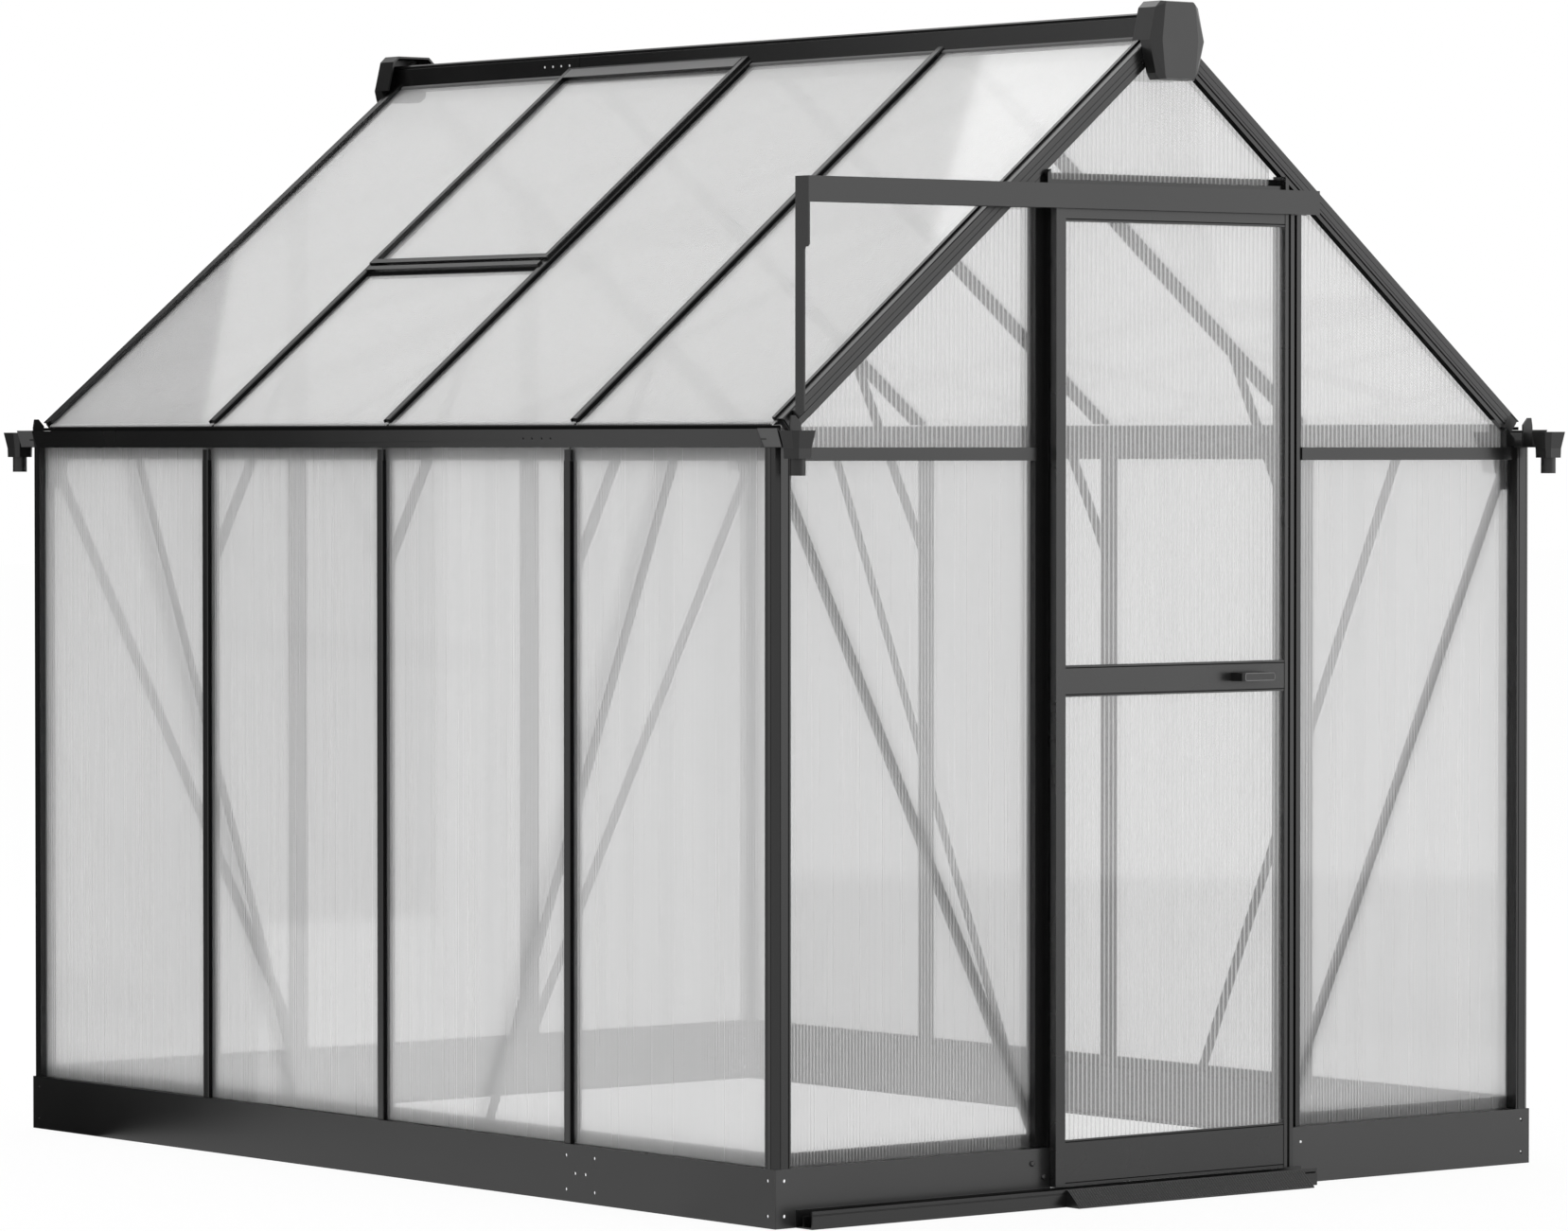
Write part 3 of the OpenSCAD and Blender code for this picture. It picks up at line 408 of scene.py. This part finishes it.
# The outlets are rougher than the other mouldings, so they shine less and look darker.
fitting_plastic = moulded("moulded_polypropylene", "#161616", 0.3)
outlet_plastic = moulded("moulded_polypropylene_outlet", "#0c0c0c", 0.42)
coat_nodes(fitting_plastic, "ridge_caps", "door_hangers", "door_handle")
coat_nodes(outlet_plastic, "gutter_heads")

# ---- Outlet sleeves ----
# Moulded plates that clip over the gutter's ends beside each outlet, cut on the slant behind, with
# a slot for the clip. They are a lighter grey than the gutter, and lean out with its wall.
sleeve_plastic = moulded("moulded_polypropylene_grey", "#464646", 0.42)
# Along the gutter from the gable and up, in mm.
sleeve_outline = [(-27, 1391), (21, 1391), (24.5, 1403.5), (10, 1403.5), (10, 1406.5), (25.5, 1406.5),
                  (28, 1424), (-27, 1424)]
sleeve_t = 0.6 * MM
gutter_face, gutter_foot, gutter_lean = 946.05, 1390, 0.338
mesh = bmesh.new()
for side in (-1, 1):
    for end in (-1, 1):
        run(mesh, [(side * (gutter_face + (z - gutter_foot) * gutter_lean) * MM,
                    end * (half_l - v * MM), z * MM) for v, z in sleeve_outline],
            (side * sleeve_t, 0, 0))
keep("outlet_sleeves", mesh, sleeve_plastic, "house")

# ---- Rafter plugs ----
# Black moulded plugs pressed into the open eave end of each rafter, with cut corners. A smaller
# step stands in front of each plug.
plug_plastic = moulded("moulded_polypropylene_black", "#060606", 0.4)
# Across the rafter from the gable and down from the roof's surface, in mm.
plug_outline = [(9, 7), (12, 4), (22, 4), (24, 6), (24, 33), (21, 36), (12, 36), (9, 33)]
plug_middle_v, plug_middle_n = 16.5, 20
# Each step's share of the width and of the height, where it starts up the slope, and its length.
plug_steps = ((1, 1, 31 * MM, 23 * MM), (6 / 9, 13 / 16, 28.5 * MM, 3 * MM))
mesh = bmesh.new()
for side in (-1, 1):
    for end in (-1, 1):
        for narrow, low, start, length in plug_steps:
            outline = [(plug_middle_v + (v - plug_middle_v) * narrow,
                        plug_middle_n + (n - plug_middle_n) * low) for v, n in plug_outline]
            run(mesh, [on_roof(side, start, end * (half_l - v * MM), n * MM) for v, n in outline],
                up_slope(side, length))
keep("rafter_plugs", mesh, plug_plastic, "house")

# ---- Ridge trim ----
# A grey PVC lip seals the top edge of the roof sheets against each side of the ridge, and another
# strip of it covers the top of the vent. A black cord in the groove under the crown is painted
# shade, the dark line of that groove. Another black cord closes the joint where the ridge's two
# lengths meet, and eight rivets hold the splice there.

# PVC comes smooth from its die, and looks paler and duller than the coat around it.
seal_pvc = moulded("extruded_pvc_grey", "#545454", 0.5)
# Outlines in mm: x and z for the lip and the cord, x and y for the cord in the joint, and up the
# slope and down from the roof's surface for the vent's strip.
ridge_lip = [(39.5, 2145.1), (35.1, 2148.7), (35.1, 2152), (39.5, 2148.6)]
ridge_lip_end = 1170 * MM
vent_strip = [(1136, -6.1), (1136, -6.9), (1163, -6.9), (1163, -6.1)]
vent_strip_start, vent_strip_l = 16 * MM, 559 * MM
mesh = bmesh.new()
for side in (-1, 1):
    run(mesh, [(side * x * MM, -ridge_lip_end, z * MM) for x, z in ridge_lip], (0, 2 * ridge_lip_end, 0))
run(mesh, [on_roof(-1, s * MM, vent_strip_start, n * MM) for s, n in vent_strip], (0, vent_strip_l, 0))
keep("ridge_lips", mesh, seal_pvc, "house")

# The first cord is painted shade in the crown's groove. The second closes the splice's joint.
ridge_cord = [(31.9, 2189.2), (32.7, 2189.4), (32.7, 2192.3), (31.9, 2192.5)]
ridge_cord_end = 1205 * MM
splice_cord = [(34.9, 553.8), (35.3, 553.8), (35.3, 555.2), (34.9, 555.2)]
splice_foot, splice_h = 2121.5 * MM, 65 * MM
mesh = bmesh.new()
for side in (-1, 1):
    run(mesh, [(side * x * MM, -ridge_cord_end, z * MM) for x, z in ridge_cord],
        (0, 2 * ridge_cord_end, 0))
    run(mesh, [(side * x * MM, y * MM, splice_foot) for x, y in splice_cord], (0, 0, splice_h))
keep("ridge_cords", mesh, gasket_rubber, "house")


def round_head(mesh, spot, out, radius, height, sides=12):
    """A low dome on a face that looks along out: a rim, a shoulder and a crown."""
    out = Vector(out).normalized()
    across = out.orthogonal().normalized()
    place = Matrix((across, out.cross(across), out)).transposed().to_4x4()
    place.translation = spot
    disc = bmesh.ops.create_circle(mesh, cap_ends=True, radius=radius, segments=sides, matrix=place)
    foot = top = disc["verts"][0].link_faces[0]
    last_share, last_rise = 1.0, 0.0
    for share, rise in ((0.98, 0.45), (0.72, 0.85), (0.35, 1.0)):
        made = bmesh.ops.extrude_face_region(mesh, geom=[top])
        if top is not foot:
            bmesh.ops.delete(mesh, geom=[top], context="FACES_ONLY")
        top = next(part for part in made["geom"] if isinstance(part, bmesh.types.BMFace))
        narrow = share / last_share
        bmesh.ops.scale(mesh, vec=(narrow, narrow, 1), space=place.inverted(), verts=top.verts)
        bmesh.ops.translate(mesh, vec=out * height * (rise - last_rise), verts=top.verts)
        last_share, last_rise = share, rise


def bright_metal(name, colour, rough):
    """Bare aluminium: a pale grey with brushed streaks that soften its shine."""
    material, tree, place = new_material(name)
    brushed = add(tree, "ShaderNodeTexNoise", {"Scale": 900.0, "Detail": 2.0}, {"Vector": place})
    shine = add(tree, "ShaderNodeMapRange", {"To Min": rough - 0.08, "To Max": rough + 0.08},
                {"Value": brushed.outputs["Fac"]})
    metal = add(tree, "ShaderNodeBsdfPrincipled", {"Base Color": paint(colour), "Metallic": 0.6},
                {"Roughness": shine.outputs["Result"]})
    add(tree, "ShaderNodeOutputMaterial", None, {"Surface": metal.outputs["BSDF"]})
    return material


rivet_metal = bright_metal("bare_aluminium", "#f2f2f2", 0.45)
ridge_side, rivet_z = 35 * MM, 2171.5 * MM
rivet_r, rivet_h = 2.4 * MM, 1.0 * MM
mesh = bmesh.new()
for side in (-1, 1):
    for y in (588, 616, 644, 672):
        round_head(mesh, (side * ridge_side, y * MM, rivet_z), (side, 0, 0), rivet_r, rivet_h)
keep("ridge_rivets", mesh, rivet_metal, "house")

# ---- Base screws ----
# Two coated pan-head screws hold the left half of the front base to its door post, one high and one
# low. A bare rivet holds the right half.
screw_r, screw_h, screw_sides = 5.3 * MM, 4.2 * MM, 16
mesh = bmesh.new()
for x, z in ((-337, 79), (-309, 53)):
    round_head(mesh, (x * MM, -half_l, z * MM), (0, -1, 0), screw_r, screw_h, screw_sides)
# The screws take the front panels' lighter coat, which is painted light.
keep("base_screws", mesh, front_panel_painted_light_coat, "house")

base_rivet_x, base_rivet_z = 334 * MM, 78 * MM
base_rivet_r, base_rivet_h = 2.7 * MM, 1.2 * MM
mesh = bmesh.new()
round_head(mesh, (base_rivet_x, -half_l, base_rivet_z), (0, -1, 0), base_rivet_r, base_rivet_h)
keep("base_rivet", mesh, rivet_metal, "house")

# ---- Ramp ribs ----
# Ribs pressed up the slope of the threshold ramp give a grip. They are part of its coated sheet.
ramp_foot = Vector((0, -1292, 2.5)) * MM
ramp_run, ramp_rise = 33, 29.5
rib_count, rib_pitch, first_rib = 90, 6.5 * MM, -289.25 * MM
rib_start, rib_half, rib_h, rib_l = 2 * MM, 1.8 * MM, 1.4 * MM, 40 * MM
slope = Vector((0, ramp_run, ramp_rise)).normalized()
off = Vector((0, -ramp_rise, ramp_run)).normalized()
toe = ramp_foot + rib_start * slope
mesh = bmesh.new()
for i in range(rib_count):
    middle = toe + Vector((first_rib + rib_pitch * i, 0, 0))
    half = Vector((rib_half, 0, 0))
    run(mesh, [middle - half, middle + half, middle + rib_h * off], slope * rib_l)
keep("ramp_ribs", mesh, base_coat, "house")

# ---- Handle rim ----
# A raised rim moulded round the face of the pull. Its lighter grey is a painted highlight, the
# shine along the pull's rounded edge. It keeps fingers from slipping.
pull_face = -1267 * MM
pull_left, pull_right, pull_low, pull_high = 143 * MM, 209 * MM, 959 * MM, 965 * MM
pull_r = 5 * MM
corner_steps, step_turn = 5, 22.5


def pull_loop(mesh, inset, rise):
    """The pull's outline with its round corners, drawn in and raised from its face."""
    reach = pull_r - inset
    loop = []
    for x, z, start in ((pull_right, pull_high, 0), (pull_left, pull_high, 90),
                        (pull_left, pull_low, 180), (pull_right, pull_low, 270)):
        for step in range(corner_steps):
            a = math.radians(start + step * step_turn)
            loop.append(mesh.verts.new((x + reach * math.cos(a), pull_face - rise, z + reach * math.sin(a))))
    return loop


mesh = bmesh.new()
rim = [pull_loop(mesh, inset * MM, rise * MM) for inset, rise in ((0.4, 0), (0.5, 0.5), (1.9, 0.5), (2, 0))]
for here, there in zip(rim, rim[1:] + rim[:1]):
    for i in range(len(here)):
        mesh.faces.new([here[i], here[i - 1], there[i - 1], there[i]])
# The rim's lighter grey is a painted highlight.
rim_highlight_plastic = moulded("moulded_polypropylene_rim_highlight", "#606060", 0.35)
keep("handle_rim", mesh, rim_highlight_plastic, "door")

# ---- Door beads ----
# Black glazing beads in grooves near the long edges of the kick plate and the middle rail, and near
# the lower edge of the top bar. They hold the door's sheets in the leaf, and their black is also
# painted shade, the dark line of each groove.
bead_front, bead_back = -1233.3 * MM, -1232.8 * MM
bead_l = 546 * MM
mesh = bmesh.new()
for z in (40.5, 115.5, 936.5, 985.5, 1807):
    run(mesh, [(door_left, bead_front, z * MM), (door_left, bead_front, (z + 1.4) * MM),
               (door_left, bead_back, (z + 1.8) * MM), (door_left, bead_back, (z - 0.4) * MM)],
        (bead_l, 0, 0))
keep("door_beads", mesh, gasket_rubber, "door")

# ---- Studio ----
# A white background, a pale floor and two soft lamps, one to the front right and one high above the
# back. A felt screen and a felt cloth behind the house show only in mirrors, where they keep the
# profiles of its long left side deep in tone.
scene = bpy.context.scene
scene.view_settings.view_transform = "Standard"
scene.cycles.transparent_max_bounces = 40

camera_data = bpy.data.cameras.new("camera")
camera_data.sensor_width = 36.0
camera_data.lens = 162.23
camera = bpy.data.objects.new("camera", camera_data)
scene.collection.objects.link(camera)
camera.location = (-8.7873, -10.9752, 1.3908)
camera.rotation_euler = (math.radians(90 - 1.3664), 0.0, math.radians(-38.858))
scene.camera = camera


def seen_white(tree):
    """1 for a ray from the camera, a mirror or clear plastic, and 0 for one that lights the object."""
    ray = add(tree, "ShaderNodeLightPath")
    first = add(tree, "ShaderNodeMath", {"operation": "MAXIMUM"},
                {0: ray.outputs["Is Camera Ray"], 1: ray.outputs["Is Glossy Ray"]})
    both = add(tree, "ShaderNodeMath", {"operation": "MAXIMUM"},
               {0: first.outputs[0], 1: ray.outputs["Is Transmission Ray"]})
    return both.outputs[0]


world = bpy.data.worlds.new("studio")
world.use_nodes = True
world.cycles.sampling_method = "NONE"
scene.world = world
tree = world.node_tree
tree.nodes.clear()
white = add(tree, "ShaderNodeBackground", {"Color": paint("#ffffff"), "Strength": 1.0})
add(tree, "ShaderNodeOutputWorld", None, {"Surface": white.outputs[0]})

# The floor that the eye or a mirror sees is 93 parts of white glow to 7 of matt paint, which still
# holds a shadow. Light that reaches the house comes off the matt paint alone.
floor_glow = 0.93
floor_paint, tree = new_material("pale_floor")[:2]
matt = add(tree, "ShaderNodeBsdfDiffuse", {"Color": paint("#f2f2f2")})
glow = add(tree, "ShaderNodeEmission", {"Color": paint("#ffffff"), "Strength": 1.0})
part = add(tree, "ShaderNodeMath", {"operation": "MULTIPLY", 1: floor_glow}, {0: seen_white(tree)})
floor_mix = add(tree, "ShaderNodeMixShader", None,
                {0: part.outputs[0], 1: matt.outputs[0], 2: glow.outputs[0]})
add(tree, "ShaderNodeOutputMaterial", None, {"Surface": floor_mix.outputs[0]})


def stage_sheet(name, corners, finish, mirrored_only=False):
    """A flat piece of the studio. It can be there for mirrored rays alone."""
    mesh = bmesh.new()
    mesh.faces.new([mesh.verts.new(point) for point in corners])
    data = bpy.data.meshes.new(name)
    mesh.to_mesh(data)
    mesh.free()
    data.materials.append(finish)
    made = bpy.data.objects.new(name, data)
    scene.collection.objects.link(made)
    if mirrored_only:
        made.visible_camera = made.visible_diffuse = False
        made.visible_transmission = made.visible_shadow = False


stage_sheet("floor", [(-60, -60, 0), (60, -60, 0), (60, 60, 0), (-60, 60, 0)], floor_paint)

black_felt, tree, place = new_material("black_felt")
weave = add(tree, "ShaderNodeTexNoise", {"Scale": 40.0}, {"Vector": place})
felt_tone = add(tree, "ShaderNodeMix", {"data_type": "RGBA", 6: paint("#060606"), 7: paint("#0c0c0c")},
                {0: weave.outputs["Fac"]})
felt = add(tree, "ShaderNodeBsdfDiffuse", None, {"Color": felt_tone.outputs[2]})
add(tree, "ShaderNodeOutputMaterial", None, {"Surface": felt.outputs[0]})
stage_sheet("felt_screen", [(-5.42, 6, 0), (3, 6, 0), (3, 6, 5), (-5.42, 6, 5)], black_felt, True)
stage_sheet("felt_cloth", [(-1.27, 0.93, 0.001), (3, 1.5, 0.001), (3, 6, 0.001), (-4.8, 6, 0.001)],
            black_felt, True)


def soft_lamp(name, spot, aim, size, power):
    """A square soft box that faces a point."""
    data = bpy.data.lights.new(name, "AREA")
    data.size = size
    data.energy = power
    lamp = bpy.data.objects.new(name, data)
    lamp.location = spot
    lamp.rotation_euler = (Vector(aim) - Vector(spot)).to_track_quat("-Z", "Y").to_euler()
    scene.collection.objects.link(lamp)


lamp_size = 7.0
middle_of_house = (0, 0, 1.0)
soft_lamp("front_lamp", (6.5, -8.0, 2.4), middle_of_house, lamp_size, 165)
soft_lamp("top_lamp", (0.5, 3.0, 9.0), middle_of_house, lamp_size, 220)
